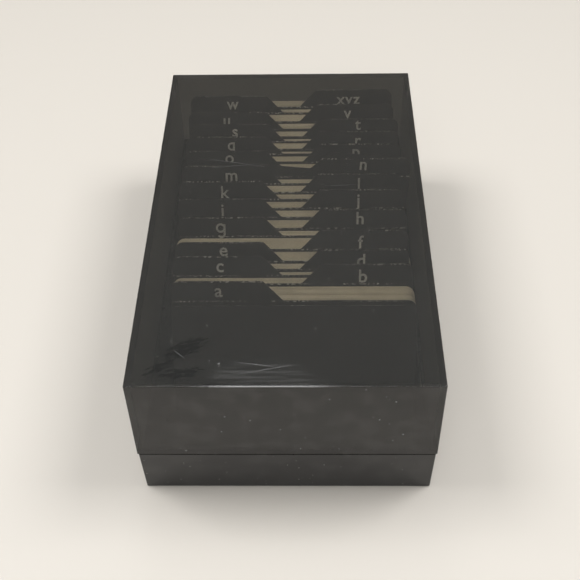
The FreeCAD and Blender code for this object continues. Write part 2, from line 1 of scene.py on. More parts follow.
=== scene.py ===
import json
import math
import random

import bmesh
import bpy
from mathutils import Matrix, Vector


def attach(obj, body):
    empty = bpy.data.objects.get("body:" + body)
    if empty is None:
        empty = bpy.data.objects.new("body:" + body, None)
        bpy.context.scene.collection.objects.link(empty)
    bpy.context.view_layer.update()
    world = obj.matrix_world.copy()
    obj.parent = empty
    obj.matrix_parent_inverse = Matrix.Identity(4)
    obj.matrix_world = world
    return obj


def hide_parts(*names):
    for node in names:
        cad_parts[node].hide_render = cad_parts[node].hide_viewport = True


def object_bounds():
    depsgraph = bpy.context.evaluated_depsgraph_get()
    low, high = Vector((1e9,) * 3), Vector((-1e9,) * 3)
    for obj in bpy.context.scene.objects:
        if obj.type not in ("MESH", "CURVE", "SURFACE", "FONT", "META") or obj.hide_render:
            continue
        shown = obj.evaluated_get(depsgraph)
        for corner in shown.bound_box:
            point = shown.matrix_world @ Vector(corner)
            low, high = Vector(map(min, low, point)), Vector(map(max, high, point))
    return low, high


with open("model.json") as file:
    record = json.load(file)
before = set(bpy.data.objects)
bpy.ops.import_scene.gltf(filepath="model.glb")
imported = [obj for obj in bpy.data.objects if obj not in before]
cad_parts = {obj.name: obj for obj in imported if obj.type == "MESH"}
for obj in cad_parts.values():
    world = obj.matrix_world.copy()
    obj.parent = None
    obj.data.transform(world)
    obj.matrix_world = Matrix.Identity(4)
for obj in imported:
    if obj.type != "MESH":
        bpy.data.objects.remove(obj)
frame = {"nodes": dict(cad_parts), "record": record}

# %% [markdown]
# # A card file box
#
# A desk box for 5 x 3 inch index cards. A clear smoked lid turns on two short pins at the back of
# a glossy black tray. Inside, black guides with letters on their tabs lean back on a steel rest,
# and the cards of each letter stand behind its guide.
#
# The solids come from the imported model, so every wall, guide and hinge is already in place. What
# this file adds is what those solids can't say: the single cards, the printed letters, the
# finishes with their wear, and the light that they are seen in. Lengths are in metres, X is to the
# right, Y to the hinges and Z up.

CAD_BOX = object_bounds()
MM = 0.001
LEAN = math.radians(30)
CARD_WIDTH = 127 * MM
CARD_HEIGHT = 76.2 * MM
CARD_ROUND = 4.8 * MM
CARD_STEP = 0.24 * MM / math.cos(LEAN)
SEAM_Z = 32 * MM
GUIDE_BODY = 78 * MM
GUIDE_TOP = GUIDE_BODY + 10.5 * MM
nodes = frame["nodes"]
letters = [name[6:] for name in nodes if name.startswith("guide_")]
letters.sort()
print("box of the solids:", [[round(v, 4) for v in corner] for corner in CAD_BOX])
print(len(nodes), "solids,", len(letters), "guides:", " ".join(letters))

# %% [markdown]
# ## The camera
#
# The photograph was taken standing at the front of the box and looking steeply down, a little from
# the right and not quite level. The camera's place and its three angles come from matching the
# edges of the box in that picture. Turning it by a product of three rotations keeps each of them
# readable: first round the upright axis, then down towards the box, then the small roll.

# %% Camera
PICTURE_PIXELS = 580
FOCAL_PIXELS = 940
SENSOR_MM = 36
CAMERA_PLACE = (0.01101, -0.38065, 0.43410)
TURNED_LEFT, LOOKS_DOWN, ROLLED = 1.657, 47.485, -1.404  # degrees
camera = bpy.data.objects.new("camera", bpy.data.cameras.new("camera"))
bpy.context.scene.collection.objects.link(camera)
camera.data.sensor_width = SENSOR_MM
camera.data.lens = FOCAL_PIXELS / PICTURE_PIXELS * SENSOR_MM
turn = Matrix.Rotation(math.radians(TURNED_LEFT), 4, "Z")
tilt = Matrix.Rotation(math.radians(90 - LOOKS_DOWN), 4, "X")
roll = Matrix.Rotation(math.radians(ROLLED), 4, "Z")
camera.matrix_world = Matrix.Translation(CAMERA_PLACE) @ turn @ tilt @ roll
bpy.context.scene.camera = camera
print("camera lens", round(camera.data.lens, 2), "mm")

# %% [markdown]
# ## Building node trees
#
# The world and every material are trees of nodes. A few short helpers add a node with its settings,
# do sums on sockets, and blend between two values, so the trees below read like formulas. A Mix
# node has its sockets once for each kind of value, all under the same names, so its sockets are
# reached by number.

# %% Helpers for node groups
NUMBER_A, NUMBER_B, NUMBER_OUT = 2, 3, 0
COLOUR_A, COLOUR_B, COLOUR_OUT = 6, 7, 2
LEVEL_FROM = 0.7  # a face counts as level where its normal's Z, up or down, is more than this


def new_group(name, inputs, outputs):
    """A shader node group: inputs are (name, type, default), outputs are (name, type)."""
    group = bpy.data.node_groups.new(name, "ShaderNodeTree")
    for label, kind, default in inputs:
        socket = group.interface.new_socket(label, in_out="INPUT", socket_type=kind)
        socket.default_value = default
    for label, kind in outputs:
        group.interface.new_socket(label, in_out="OUTPUT", socket_type=kind)
    start = group.nodes.new("NodeGroupInput")
    end = group.nodes.new("NodeGroupOutput")
    return group, start, end


def add_node(tree, kind, **settings):
    """A new node with its settings: plain names are properties, and in_ names are input sockets."""
    node = tree.nodes.new(kind)
    for name, value in settings.items():
        if name.startswith("in_"):
            node.inputs[name[3:].replace("_", " ")].default_value = value
        else:
            setattr(node, name, value)
    return node


def math_node(tree, operation, first, second=None, clamp=False):
    """A Math node whose inputs are sockets or numbers, returning its output socket."""
    node = tree.nodes.new("ShaderNodeMath")
    node.operation = operation
    node.use_clamp = clamp
    for slot, value in enumerate((first, second)):
        if value is None:
            continue
        if isinstance(value, (int, float)):
            node.inputs[slot].default_value = value
        else:
            tree.links.new(value, node.inputs[slot])
    return node.outputs[0]


def ramp_node(tree, value, low, high):
    """A smooth step from 0 at low to 1 at high."""
    node = tree.nodes.new("ShaderNodeMapRange")
    node.interpolation_type = "SMOOTHSTEP"
    node.inputs["From Min"].default_value = low
    node.inputs["From Max"].default_value = high
    tree.links.new(value, node.inputs["Value"])
    return node.outputs["Result"]


def pick_node(tree, chosen, wanted, other):
    """One value where chosen is 1, and the other where it is 0."""
    node = tree.nodes.new("ShaderNodeMix")
    for slot, value in ((0, chosen), (NUMBER_A, other), (NUMBER_B, wanted)):
        tree.links.new(value, node.inputs[slot])
    return node.outputs[NUMBER_OUT]


def separate_node(tree, value):
    """A node that gives X, Y and Z of a vector."""
    node = tree.nodes.new("ShaderNodeSeparateXYZ")
    tree.links.new(value, node.inputs[0])
    return node


def face_coordinates(tree):
    """Coordinates in the plane of each face: X and Y on level faces, along and up on walls."""
    place = tree.nodes.new("ShaderNodeTexCoord")
    at = separate_node(tree, place.outputs["Object"])
    facing = separate_node(tree, place.outputs["Normal"])
    level = math_node(tree, "GREATER_THAN", math_node(tree, "ABSOLUTE", facing.outputs["Z"]), LEVEL_FROM)
    along = math_node(tree, "ADD", at.outputs["X"], at.outputs["Y"])
    flat = tree.nodes.new("ShaderNodeCombineXYZ")
    tree.links.new(pick_node(tree, level, at.outputs["X"], along), flat.inputs["X"])
    tree.links.new(pick_node(tree, level, at.outputs["Y"], at.outputs["Z"]), flat.inputs["Y"])
    return flat.outputs[0]


print("helpers ready")

# %% [markdown]
# ## Floor and light
#
# Gloss black and clear plastic show what stands round them more than they show themselves. The box
# stands on one large pale floor, whose reflection lights up its front walls. The light is soft:
# two wide lamps hang high at the left and the right and shine down through the lid onto the cards,
# where neither the camera nor someone looking straight down sees them mirrored in the top. A lamp
# in front brightens the rounded front edge, which also catches the other lamps and the room. A weak
# lamp behind the box hangs where the top would mirror it a little in front of that edge, so that
# from the camera it only brightens the scratches there a little.
#
# The lamps in front and behind are large for their power. From steeply above the front, the lid's
# top mirrors the one behind, and from behind, the end of the opened lid mirrors the one in front:
# both patches stay grey and don't clip to white. The world is a plain room, darker low down.

# %% Floor
floor_mesh = bpy.data.meshes.new("floor")
sheet = bmesh.new()
bmesh.ops.create_grid(sheet, x_segments=1, y_segments=1, size=4)
sheet.to_mesh(floor_mesh)
sheet.free()
floor = bpy.data.objects.new("floor", floor_mesh)
bpy.context.scene.collection.objects.link(floor)
floor_finish = bpy.data.materials.new("floor_finish")
floor_finish.use_nodes = True
floor_shader = floor_finish.node_tree.nodes["Principled BSDF"]
floor_shader.inputs["Base Color"].default_value = (0.54, 0.507, 0.462, 1)
floor_shader.inputs["Roughness"].default_value = 0.55
floor_mesh.materials.append(floor_finish)
print("floor", round(floor.dimensions.x, 1), "m wide")


# %% Lamps and world
def add_lamp(name, place, target, width, height, power):
    """A rectangular lamp that faces its target."""
    data = bpy.data.lights.new(name, "AREA")
    data.shape = "RECTANGLE"
    data.size = width
    data.size_y = height
    data.energy = power
    lamp = bpy.data.objects.new(name, data)
    bpy.context.scene.collection.objects.link(lamp)
    aim = Vector(target) - Vector(place)
    lamp.matrix_world = Matrix.Translation(place) @ aim.to_track_quat("-Z", "Y").to_matrix().to_4x4()


add_lamp("lamp_left", (-0.75, 0.10, 1.35), (0, 0, 0.05), 0.6, 0.6, 14)
add_lamp("lamp_right", (0.75, 0.10, 1.35), (0, 0, 0.05), 0.6, 0.6, 14)
add_lamp("lamp_front", (-0.12, -1.25, 1.25), (0, -0.1, 0), 0.9, 0.9, 7)
add_lamp("lamp_behind", (-0.13, 0.64, 1.57), (0, 0, 0.05), 0.45, 0.50, 2.2)

world = bpy.data.worlds.new("room")
world.use_nodes = True
bpy.context.scene.world = world
room = world.node_tree
background = room.nodes["Background"]
direction = add_node(room, "ShaderNodeTexCoord")
height = separate_node(room, direction.outputs["Generated"])
wall_to_ceiling = add_node(room, "ShaderNodeMix", data_type="RGBA")
room.links.new(ramp_node(room, height.outputs["Z"], 0.40, 0.86), wall_to_ceiling.inputs[0])
wall_to_ceiling.inputs[COLOUR_A].default_value = (0.22, 0.21, 0.20, 1)
wall_to_ceiling.inputs[COLOUR_B].default_value = (0.52, 0.53, 0.52, 1)
room.links.new(wall_to_ceiling.outputs[COLOUR_OUT], background.inputs["Color"])
background.inputs["Strength"].default_value = 1.0
bpy.context.scene.view_settings.view_transform = "Standard"

# %% [markdown]
# ## Effects that several finishes share
#
# Real surfaces are never one colour: they carry dust, fine scratches from wiping, greasy smudges,
# and edges that are rubbed brighter. Each of these is one node group, built once, and a last group
# draws a single mark at a chosen place. A material places a group and gives it its own values, so
# the lid can be scratched more than the tray by changing two numbers. The groups give out only
# masks. The shader stays in the material.

# %% Dust: small grains that gather unevenly
FLOAT, VECTOR = "NodeSocketFloat", "NodeSocketVector"
dust_group, start, end = new_group(
    "dust", [("Grains per metre", FLOAT, 900.0), ("Amount", FLOAT, 0.3)], [("Mask", FLOAT)])
flat = face_coordinates(dust_group)
grains = add_node(dust_group, "ShaderNodeTexVoronoi", feature="F1", voronoi_dimensions="2D",
                  in_Randomness=1.0)
drift = add_node(dust_group, "ShaderNodeTexNoise", in_Scale=22.0, in_Detail=3.0)
dust_group.links.new(flat, grains.inputs["Vector"])
dust_group.links.new(flat, drift.inputs["Vector"])
dust_group.links.new(start.outputs["Grains per metre"], grains.inputs["Scale"])
chance = add_node(dust_group, "ShaderNodeSeparateColor")
dust_group.links.new(grains.outputs["Color"], chance.inputs["Color"])
size = math_node(dust_group, "MULTIPLY", chance.outputs["Green"], 0.2)
spot = math_node(dust_group, "LESS_THAN", grains.outputs["Distance"], size)
many = math_node(dust_group, "MULTIPLY", drift.outputs["Fac"], start.outputs["Amount"])
kept = math_node(dust_group, "LESS_THAN", chance.outputs["Red"], many)
mask = math_node(dust_group, "MULTIPLY", spot, kept)
dust_group.links.new(mask, end.inputs["Mask"])
print("group:", dust_group.name)

# %% Scratches: fine, nearly straight lines in several directions
scratch_group, start, end = new_group(
    "scratches", [("Lines per metre", FLOAT, 700.0), ("Amount", FLOAT, 0.3)], [("Mask", FLOAT)])
flat = face_coordinates(scratch_group)
total = None
for angle, seed in ((82, 0.0), (66, 3.1), (-29, 7.7), (97, 12.4)):
    bend = add_node(scratch_group, "ShaderNodeTexNoise", in_Scale=9.0, in_Detail=1.0)
    scratch_group.links.new(flat, bend.inputs["Vector"])
    shift = add_node(scratch_group, "ShaderNodeVectorMath", operation="MULTIPLY_ADD")
    scratch_group.links.new(bend.outputs["Color"], shift.inputs[0])
    shift.inputs[1].default_value = (0.02, 0.02, 0.02)
    scratch_group.links.new(flat, shift.inputs[2])
    mapping = add_node(scratch_group, "ShaderNodeMapping", vector_type="TEXTURE")
    mapping.inputs["Rotation"].default_value = (0, 0, math.radians(angle))
    mapping.inputs["Location"].default_value = (seed, seed * 0.7, 0)
    mapping.inputs["Scale"].default_value = (1, 40, 1)
    scratch_group.links.new(shift.outputs[0], mapping.inputs["Vector"])
    lines = add_node(scratch_group, "ShaderNodeTexNoise", in_Detail=0.0)
    scratch_group.links.new(start.outputs["Lines per metre"], lines.inputs["Scale"])
    scratch_group.links.new(mapping.outputs["Vector"], lines.inputs["Vector"])
    line = ramp_node(scratch_group, lines.outputs["Fac"], 0.73, 0.79)
    total = line if total is None else math_node(scratch_group, "MAXIMUM", total, line)
patches = add_node(scratch_group, "ShaderNodeTexNoise", in_Scale=16.0, in_Detail=2.0)
scratch_group.links.new(flat, patches.inputs["Vector"])
where = ramp_node(scratch_group, patches.outputs["Fac"], 0.40, 0.66)
mask = math_node(scratch_group, "MULTIPLY", total, where)
mask = math_node(scratch_group, "MULTIPLY", mask, start.outputs["Amount"], clamp=True)
scratch_group.links.new(mask, end.inputs["Mask"])
print("group:", scratch_group.name)

# %% Smudges: soft greasy patches left by hands
smudge_group, start, end = new_group(
    "smudges", [("Patches per metre", FLOAT, 30.0), ("Amount", FLOAT, 0.5)], [("Mask", FLOAT)])
place = add_node(smudge_group, "ShaderNodeTexCoord")
wide = add_node(smudge_group, "ShaderNodeTexNoise", in_Detail=5.0, in_Roughness=0.62, in_Distortion=0.7)
smudge_group.links.new(place.outputs["Object"], wide.inputs["Vector"])
smudge_group.links.new(start.outputs["Patches per metre"], wide.inputs["Scale"])
soft = ramp_node(smudge_group, wide.outputs["Fac"], 0.42, 0.74)
mask = math_node(smudge_group, "MULTIPLY", soft, start.outputs["Amount"], clamp=True)
smudge_group.links.new(mask, end.inputs["Mask"])
print("group:", smudge_group.name)

# %% Edge wear: corners that hands and the other half rub
edge_group, start, end = new_group(
    "edge_wear", [("Width", FLOAT, 0.0006), ("Amount", FLOAT, 0.6)], [("Mask", FLOAT)])
rounded = add_node(edge_group, "ShaderNodeBevel", samples=4)
edge_group.links.new(start.outputs["Width"], rounded.inputs["Radius"])
surface = add_node(edge_group, "ShaderNodeNewGeometry")
compare = add_node(edge_group, "ShaderNodeVectorMath", operation="DOT_PRODUCT")
edge_group.links.new(rounded.outputs["Normal"], compare.inputs[0])
edge_group.links.new(surface.outputs["Normal"], compare.inputs[1])
turned = math_node(edge_group, "SUBTRACT", 1.0, compare.outputs["Value"])
edge = ramp_node(edge_group, turned, 0.01, 0.16)
place = add_node(edge_group, "ShaderNodeTexCoord")
rub = add_node(edge_group, "ShaderNodeTexNoise", in_Scale=160.0, in_Detail=4.0, in_Roughness=0.7)
edge_group.links.new(place.outputs["Object"], rub.inputs["Vector"])
patchy = ramp_node(edge_group, rub.outputs["Fac"], 0.38, 0.68)
mask = math_node(edge_group, "MULTIPLY", edge, patchy)
mask = math_node(edge_group, "MULTIPLY", mask, start.outputs["Amount"], clamp=True)
edge_group.links.new(mask, end.inputs["Mask"])
print("group:", edge_group.name)

# %% One mark: a soft patch or a long scratch at a chosen place on a level face
MARK_DEPTH = 0.3 * MM  # a mark shows only on faces this close to its own height
mark_group, start, end = new_group(
    "mark", [("Place", VECTOR, (0, 0, 0)), ("Half length", FLOAT, 0.01), ("Half width", FLOAT, 0.004),
             ("Angle", FLOAT, 0.0), ("Raggedness", FLOAT, 0.5)], [("Mask", FLOAT)])
where = add_node(mark_group, "ShaderNodeTexCoord")
apart = add_node(mark_group, "ShaderNodeVectorMath", operation="SUBTRACT")
mark_group.links.new(where.outputs["Object"], apart.inputs[0])
mark_group.links.new(start.outputs["Place"], apart.inputs[1])
turned = add_node(mark_group, "ShaderNodeVectorRotate", rotation_type="Z_AXIS")
mark_group.links.new(apart.outputs[0], turned.inputs["Vector"])
turned_back = math_node(mark_group, "MULTIPLY", start.outputs["Angle"], -1.0)
mark_group.links.new(turned_back, turned.inputs["Angle"])
away = separate_node(mark_group, turned.outputs[0])
across = math_node(mark_group, "DIVIDE", away.outputs["X"], start.outputs["Half length"])
along = math_node(mark_group, "DIVIDE", away.outputs["Y"], start.outputs["Half width"])
across_squared = math_node(mark_group, "POWER", math_node(mark_group, "ABSOLUTE", across), 2.0)
along_squared = math_node(mark_group, "POWER", math_node(mark_group, "ABSOLUTE", along), 2.0)
squares = math_node(mark_group, "ADD", across_squared, along_squared)
stretched = add_node(mark_group, "ShaderNodeMapping")
stretched.inputs["Scale"].default_value = (1, 4, 1)
mark_group.links.new(turned.outputs[0], stretched.inputs["Vector"])
rag = add_node(mark_group, "ShaderNodeTexNoise", in_Scale=170.0, in_Detail=4.0, in_Roughness=0.6)
mark_group.links.new(stretched.outputs[0], rag.inputs["Vector"])
torn = math_node(mark_group, "MULTIPLY", math_node(mark_group, "SUBTRACT", rag.outputs["Fac"], 0.5),
                 math_node(mark_group, "MULTIPLY", start.outputs["Raggedness"], 4.0))
reach = math_node(mark_group, "ADD", squares, torn)
inside = math_node(mark_group, "SUBTRACT", 1.0, ramp_node(mark_group, reach, 0.35, 1.25))
off_level = math_node(mark_group, "ABSOLUTE", away.outputs["Z"])
at_level = math_node(mark_group, "LESS_THAN", off_level, MARK_DEPTH)
mark_group.links.new(math_node(mark_group, "MULTIPLY", inside, at_level), end.inputs["Mask"])
print("group:", mark_group.name)

# %% [markdown]
# ## Finishes
#
# Every finish is made in the same few steps: a Principled shader with plain values for what is the
# same all over, then masks that change its colour, its roughness or the weight of its coat from
# place to place, and for most of them a small bump. Helpers for those steps keep each material
# short enough to read at a glance.

# %% Helpers for materials
class Finish:
    """A material under construction: its tree, its shader, and the values that masks change."""

    def __init__(self, name, colour, roughness, **settings):
        self.material = bpy.data.materials.new(name)
        self.material.use_nodes = True
        self.tree = self.material.node_tree
        self.shader = self.tree.nodes["Principled BSDF"]
        self.shader.inputs["Base Color"].default_value = (*colour, 1)
        self.shader.inputs["Roughness"].default_value = roughness
        for socket, value in settings.items():
            self.shader.inputs[socket.replace("_", " ")].default_value = value
        self.colour = None
        self.rough = None
        self.coat = None
        self.height = None

    def mask(self, group, **values):
        """The output of a shared effect with this material's own values."""
        node = self.tree.nodes.new("ShaderNodeGroup")
        node.node_tree = group
        for socket, value in values.items():
            node.inputs[socket.replace("_", " ")].default_value = value
        return node.outputs[0]

    def tint(self, mask, colour):
        """Mix the base colour towards another one where the mask is white."""
        node = self.tree.nodes.new("ShaderNodeMix")
        node.data_type = "RGBA"
        if self.colour:
            self.tree.links.new(self.colour, node.inputs[COLOUR_A])
        else:
            node.inputs[COLOUR_A].default_value = self.shader.inputs["Base Color"].default_value
        node.inputs[COLOUR_B].default_value = (*colour, 1)
        self.tree.links.new(mask, node.inputs[0])
        self.colour = node.outputs[COLOUR_OUT]
        self.tree.links.new(self.colour, self.shader.inputs["Base Color"])

    def roughen(self, mask, amount):
        """Add to the roughness where the mask is white."""
        before = self.rough if self.rough else self.shader.inputs["Roughness"].default_value
        added = math_node(self.tree, "MULTIPLY", mask, amount)
        self.rough = math_node(self.tree, "ADD", added, before, clamp=True)
        self.tree.links.new(self.rough, self.shader.inputs["Roughness"])

    def film(self, mask, amount):
        """Lay a thin coat over the surface where the mask is white, as dust and grease do."""
        added = math_node(self.tree, "MULTIPLY", mask, amount)
        self.coat = math_node(self.tree, "MAXIMUM", added, self.coat) if self.coat else added
        self.tree.links.new(self.coat, self.shader.inputs["Coat Weight"])

    def emboss(self, height, distance, strength=1.0):
        """Let a height bump the surface, on top of any bump before it."""
        node = self.tree.nodes.new("ShaderNodeBump")
        node.inputs["Distance"].default_value = distance
        node.inputs["Strength"].default_value = strength
        self.tree.links.new(height, node.inputs["Height"])
        if self.height:
            self.tree.links.new(self.height, node.inputs["Normal"])
        self.height = node.outputs["Normal"]
        self.tree.links.new(self.height, self.shader.inputs["Normal"])

    def noise(self, scale, detail=3.0, stretch=(1, 1, 1)):
        """Noise fixed to the object, stretched along its axes if asked."""
        place = self.tree.nodes.new("ShaderNodeTexCoord")
        mapping = self.tree.nodes.new("ShaderNodeMapping")
        mapping.inputs["Scale"].default_value = stretch
        texture = self.tree.nodes.new("ShaderNodeTexNoise")
        texture.inputs["Scale"].default_value = scale
        texture.inputs["Detail"].default_value = detail
        self.tree.links.new(place.outputs["Object"], mapping.inputs["Vector"])
        self.tree.links.new(mapping.outputs["Vector"], texture.inputs["Vector"])
        return texture.outputs["Fac"]


def dress(name, finish):
    """Give one of the solids a finish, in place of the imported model's own."""
    materials = nodes[name].data.materials
    materials.clear()
    materials.append(finish.material)


print("material helpers ready")

# %% [markdown]
# ### Smoked plastic
#
# The lid is moulded acrylic or styrene with a dark dye, clear enough to read the letters through
# it. A transmitting shader with the real index of refraction bends light at both faces of the
# 3 mm wall, so its thickness shows as bands along the corners, as it does on the real lid. The dye
# is the base colour: light that comes in and goes back out again passes it twice.
#
# The walls get a much darker tint than the roof, and that darker tint is painted shade. One dye for
# the whole moulding would be simpler, but in the photograph no light from the counter comes through
# the walls, so the tint is set to match that. Low down, where the tray's locating lip stands right
# behind the lid, the tint is nearly black, which is painted shade as well. The inner faces of the
# walls are rougher than the outer ones.

# %% Lid finish: the dye and the walls
ROOF_Z = CAD_BOX[1][2]
ROOF_SURFACE_Z = ROOF_Z - 0.2 * MM
UNDER_ROOF_Z = ROOF_Z - 3.4 * MM  # a little below the roof's inner face
OVER_LIP_Z = SEAM_Z + 4 * MM  # a little above the tray's locating lip
smoke = Finish("smoked_plastic", (0.50, 0.483, 0.442), 0.015, Transmission_Weight=0.99, IOR=1.49,
               Coat_Roughness=0.3, Coat_IOR=2.6)
place = add_node(smoke.tree, "ShaderNodeTexCoord")
at = separate_node(smoke.tree, place.outputs["Object"])
facing = separate_node(smoke.tree, place.outputs["Normal"])
on_top = math_node(smoke.tree, "GREATER_THAN", at.outputs["Z"], ROOF_SURFACE_Z)
high = math_node(smoke.tree, "GREATER_THAN", at.outputs["Z"], UNDER_ROOF_Z)
flatness = math_node(smoke.tree, "ABSOLUTE", facing.outputs["Z"])
level = math_node(smoke.tree, "GREATER_THAN", flatness, LEVEL_FROM)
wall = math_node(smoke.tree, "SUBTRACT", 1.0, math_node(smoke.tree, "MULTIPLY", high, level))
# painted shade: the walls are tinted much darker than the roof to paint the shade seen through them
smoke.tint(wall, (0.060, 0.058, 0.053))
# painted shade: the lowest part of the lid, in front of the tray's lip, is painted nearly black
smoke.tint(math_node(smoke.tree, "LESS_THAN", at.outputs["Z"], OVER_LIP_Z), (0.004, 0.004, 0.004))
outward = add_node(smoke.tree, "ShaderNodeVectorMath", operation="DOT_PRODUCT")
smoke.tree.links.new(place.outputs["Object"], outward.inputs[0])
smoke.tree.links.new(place.outputs["Normal"], outward.inputs[1])
inner = math_node(smoke.tree, "LESS_THAN", outward.outputs["Value"], 0.0)
smoke.roughen(math_node(smoke.tree, "MULTIPLY", inner, wall), 0.35)
print("lid finish:", smoke.material.name)

# %% [markdown]
# ### Marks on the lid
#
# Scratches, dust and handled places are a thin rough coat over the plastic, whose weight is their
# mask: a coat brightens a clear surface where its base colour can't. The stains are a tint, because
# they are darker than the plastic round them. The marks that the photograph shows have chosen
# places, given by their centre, half their length and width in millimetres, and their angle.

# %% Lid finish: stains and scratches on the roof
STAINS = (((-47.5, -100), 11, 4.2, 24), ((-58, -111), 9, 2.2, 32), ((-48, -115), 10, 2.6, 6))
SCRATCHES = (((-33, 36.5), 20, 0.16, -12), ((-32, 33), 18, 0.12, 7), ((-9, -113), 16, 0.14, 12),
             ((-14, -110), 13, 0.12, -9), ((30, 16), 12, 0.10, 3), ((-50, -104), 4, 0.12, -40))
RUBBED = ((-10, -120), 25, 14, 0)


def roof_mark(centre, half_length, half_width, angle, raggedness):
    """The mask of one mark on the roof."""
    return smoke.mask(mark_group, Place=(centre[0] * MM, centre[1] * MM, ROOF_Z),
                      Half_length=half_length * MM, Half_width=half_width * MM,
                      Angle=math.radians(angle), Raggedness=raggedness)


for stain in STAINS:
    smoke.tint(roof_mark(*stain, 1.7), (0.15, 0.15, 0.14))
for scratch in SCRATCHES:
    smoke.film(roof_mark(*scratch, 0.3), 0.9)
wiped = smoke.mask(scratch_group, Lines_per_metre=600.0, Amount=0.8)
smoke.film(math_node(smoke.tree, "MULTIPLY", on_top, wiped), 0.07)
rubbed = roof_mark(*RUBBED, 0.4)
arcs = ramp_node(smoke.tree, smoke.noise(800.0, 1.0, stretch=(0.03, 1, 1)), 0.44, 0.60)
smoke.film(math_node(smoke.tree, "MULTIPLY", rubbed, arcs), 0.13)
print(len(STAINS), "stains and", len(SCRATCHES), "long scratches")

# %% Lid finish: the handled front edge, dust and haze
HANDLED_X = -8 * MM
FULLY_HANDLED, NOT_HANDLED = 14 * MM, 38 * MM  # how far to the side of that place
FRONT_FROM, UP_FROM = -0.05, 0.15  # the normal's Y and Z on the rounded edge
to_front = math_node(smoke.tree, "LESS_THAN", facing.outputs["Y"], FRONT_FROM)
upwards = math_node(smoke.tree, "GREATER_THAN", facing.outputs["Z"], UP_FROM)
rounded = math_node(smoke.tree, "MULTIPLY", to_front, upwards)
beside = math_node(smoke.tree, "SUBTRACT", at.outputs["X"], HANDLED_X)
from_middle = math_node(smoke.tree, "ABSOLUTE", beside)
fading = ramp_node(smoke.tree, from_middle, FULLY_HANDLED, NOT_HANDLED)
handled = math_node(smoke.tree, "SUBTRACT", 1.0, fading)
front_edge = math_node(smoke.tree, "MULTIPLY", rounded, high)
smoke.film(math_node(smoke.tree, "MULTIPLY", front_edge, handled), 1.0)
smoke.film(smoke.mask(dust_group, Grains_per_metre=420.0, Amount=0.035), 0.8)
smoke.film(smoke.mask(smudge_group, Patches_per_metre=26.0, Amount=0.6), 0.02)
clouds = ramp_node(smoke.tree, smoke.noise(90.0, 8.0), 0.44, 0.68)
outside = math_node(smoke.tree, "SUBTRACT", wall, inner, clamp=True)
smoke.film(math_node(smoke.tree, "MULTIPLY", clouds, outside), 0.08)
smoke.roughen(smoke.mask(smudge_group, Patches_per_metre=26.0, Amount=0.5), 0.03)
dress("lid", smoke)
print("lid finished with", len(smoke.tree.nodes), "nodes")

# %% [markdown]
# ### Black plastic
#
# The tray is the same kind of moulding in solid black. Black gloss is nearly all reflection, so its
# character comes from what disturbs the gloss: wiping marks, dust, a thin haze, a faint waviness of
# the walls, and edges that have gone grey. A narrow band below the seam is black metal, which
# mirrors next to nothing: it stands for the shadow under the lid's rim.

# %% Tray finish
SHADOW_Z = SEAM_Z - 0.6 * MM
SHADOW_HALF_HEIGHT = 0.65 * MM
gloss = Finish("black_plastic", (0.010, 0.010, 0.011), 0.06, IOR=1.52, Coat_Roughness=0.4, Coat_IOR=2.6)
gloss.tint(gloss.mask(edge_group, Width=0.0005, Amount=0.35), (0.09, 0.09, 0.088))
gloss.tint(gloss.mask(dust_group, Grains_per_metre=700.0, Amount=0.05), (0.25, 0.24, 0.22))
gloss.film(ramp_node(gloss.tree, gloss.noise(90.0, 8.0), 0.44, 0.68), 0.08)
gloss.roughen(gloss.mask(smudge_group, Patches_per_metre=34.0, Amount=0.8), 0.16)
gloss.roughen(gloss.mask(scratch_group, Lines_per_metre=420.0, Amount=0.8), 0.10)
gloss.emboss(gloss.noise(38.0, 2.0), 0.00006, 0.5)
place = add_node(gloss.tree, "ShaderNodeTexCoord")
at = separate_node(gloss.tree, place.outputs["Object"])
below = math_node(gloss.tree, "SUBTRACT", SHADOW_Z, at.outputs["Z"])
shadow = math_node(gloss.tree, "LESS_THAN", math_node(gloss.tree, "ABSOLUTE", below), SHADOW_HALF_HEIGHT)
gloss.tint(shadow, (0, 0, 0))
gloss.tree.links.new(shadow, gloss.shader.inputs["Metallic"])
dress("base_tray", gloss)
print("tray finish:", gloss.material.name)

# %% [markdown]
# ### Guides, front plate and racks
#
# The guides are sheets of satin black plastic, rubbed by years of fingers. A light strip, broken up
# by noise, runs along each guide's shoulder and along the top of its tab, both at a known height
# over its foot, and the faces that look up are lightened with it: this is partly wear and partly a
# painted highlight on those top edges. A very fine grain disturbs the sheen. The front plate is of
# the same plastic. The racks under the guides are a duller moulding of the same colour.

# %% Guide finish
FOOT_Z = min(vertex.co.z for vertex in nodes["guide_a"].data.vertices)
WEAR_AND_HIGHLIGHT_STRIP = 0.35 * MM
FACES_UP_FROM = 0.75
satin = Finish("guide_plastic", (0.014, 0.013, 0.012), 0.42, IOR=1.42)
satin.tint(satin.mask(smudge_group, Patches_per_metre=48.0, Amount=0.5), (0.024, 0.022, 0.020))
place = add_node(satin.tree, "ShaderNodeTexCoord")
at = separate_node(satin.tree, place.outputs["Object"])
facing = separate_node(satin.tree, place.outputs["Normal"])
wear_and_highlight = math_node(satin.tree, "GREATER_THAN", facing.outputs["Z"], FACES_UP_FROM)
above_foot = math_node(satin.tree, "SUBTRACT", at.outputs["Z"], FOOT_Z)
for sheet_height in (GUIDE_BODY, GUIDE_TOP):
    below = math_node(satin.tree, "SUBTRACT", sheet_height * math.cos(LEAN), above_foot)
    strip = math_node(satin.tree, "LESS_THAN", math_node(satin.tree, "ABSOLUTE", below), WEAR_AND_HIGHLIGHT_STRIP)
    wear_and_highlight = math_node(satin.tree, "MAXIMUM", wear_and_highlight, strip)
nicks = ramp_node(satin.tree, satin.noise(900.0, 1.0), 0.50, 0.60)
stretches = ramp_node(satin.tree, satin.noise(45.0, 2.0), 0.36, 0.62)
